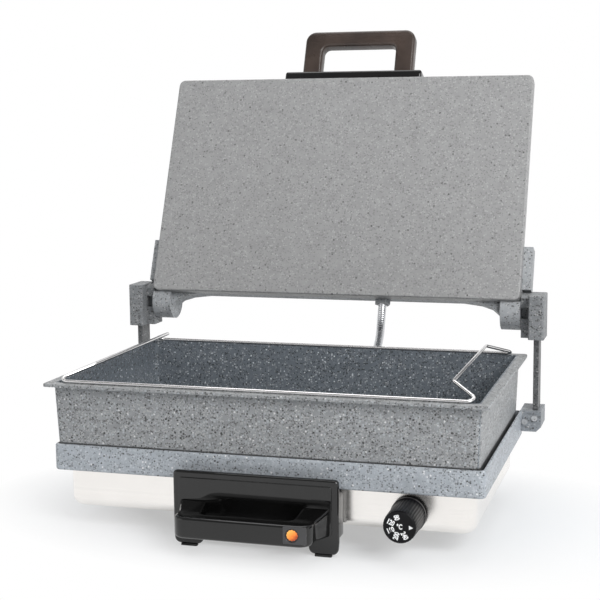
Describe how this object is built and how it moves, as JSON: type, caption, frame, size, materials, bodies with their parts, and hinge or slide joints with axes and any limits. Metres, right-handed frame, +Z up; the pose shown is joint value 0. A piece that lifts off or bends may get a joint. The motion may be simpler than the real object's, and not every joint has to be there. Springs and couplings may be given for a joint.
{
  "type": "electric flatbread maker",
  "caption": "Electric contact grill for thin breads, lid open on tall hinge posts, with a deep lift-out pan in a steel base, front grip, lamp and thermostat knob.",
  "frame": {"origin": "on the worktop, under the middle of the open machine's outline", "axes": "+Z up, -Y towards the cook, +X to the right; the open lid makes Z the longest extent"},
  "size_m": [0.4718, 0.4791, 0.5006],
  "materials": {
    "stainless": "bright",
    "granite_coat": "speckled granite coating",
    "plate_coat": "fine non-stick coating",
    "cast_metal": "satin",
    "chrome_wire": "polished",
    "zinc_steel": "zinc plated",
    "element_sheath": "heat tinted",
    "black_phenolic": "gloss",
    "black_plastic": "satin",
    "lamp_amber": "translucent amber",
    "lamp_frame": "satin",
    "insulation": "felted fibre",
    "ceramic_white": "unglazed",
    "rubber_black": "matt",
    "conduit_steel": "corrugated",
    "gland_plastic": "satin"
  },
  "bodies": {
    "base": {"base_housing": "stainless", "lower_casting": "granite_coat", "lower_heating_element": "element_sheath", "lower_element_retainers": "zinc_steel", "lower_retainer_screws": "zinc_steel", "lower_insulation_mat": "insulation", "heat_shield": "stainless", "housing_tie_screws": "zinc_steel", "thermostat_body": "ceramic_white", "thermostat_nut": "zinc_steel", "terminal_block": "ceramic_white", "earth_stud": "zinc_steel", "rear_feet": "rubber_black", "rear_foot_screws": "zinc_steel", "front_handle_plate": "black_phenolic", "front_handle_screws": "zinc_steel", "front_handle_grip": "black_plastic", "front_grip_screws": "zinc_steel", "front_foot_pads": "rubber_black", "lamp_bezel": "lamp_frame", "lamp_lens": "lamp_amber", "lamp_body": "lamp_frame", "hinge_post_left": "zinc_steel", "hinge_post_right": "zinc_steel", "post_screws": "zinc_steel", "deep_pan": "granite_coat", "pan_wire_frame": "chrome_wire", "conduit_gland_base": "gland_plastic", "cord_inlet_gland": "gland_plastic", "base_gland_nuts": "gland_plastic", "conduit": "conduit_steel"},
    "knob": {"control_knob": "black_plastic", "thermostat_shaft": "zinc_steel"},
    "hinge_carriage": {"hinge_block_left": "cast_metal", "hinge_block_right": "cast_metal", "hinge_pin_left": "zinc_steel", "hinge_pin_right": "zinc_steel"},
    "lid": {"lid_plate": "plate_coat", "lid_rear_casting": "granite_coat", "upper_heating_element": "element_sheath", "upper_element_retainers": "zinc_steel", "upper_retainer_screws": "zinc_steel", "upper_insulation_mat": "insulation", "lid_assembly_screws": "zinc_steel", "lid_handle_plate": "black_phenolic", "lid_handle_screws": "zinc_steel", "lid_handle_grip": "black_plastic", "lid_grip_screws": "zinc_steel", "conduit_gland_lid": "gland_plastic", "lid_gland_nut": "gland_plastic"}
  },
  "joints": [
    {"name": "knob_turn", "type": "hinge", "parent": "base", "child": "knob", "pos_m": [0.142, -0.1905, 0.04], "axis": [0, 1, 0], "range_deg": [0, 270]},
    {"name": "hinge_float", "type": "slide", "parent": "base", "child": "hinge_carriage", "axis": [0, 0, 1], "range_m": [0, 0.012]},
    {"name": "lid_hinge", "type": "hinge", "parent": "hinge_carriage", "child": "lid", "pos_m": [0, 0.0955, 0.192], "axis": [1, 0, 0], "range_deg": [0, 113], "deforming": ["conduit"]}
  ]
}
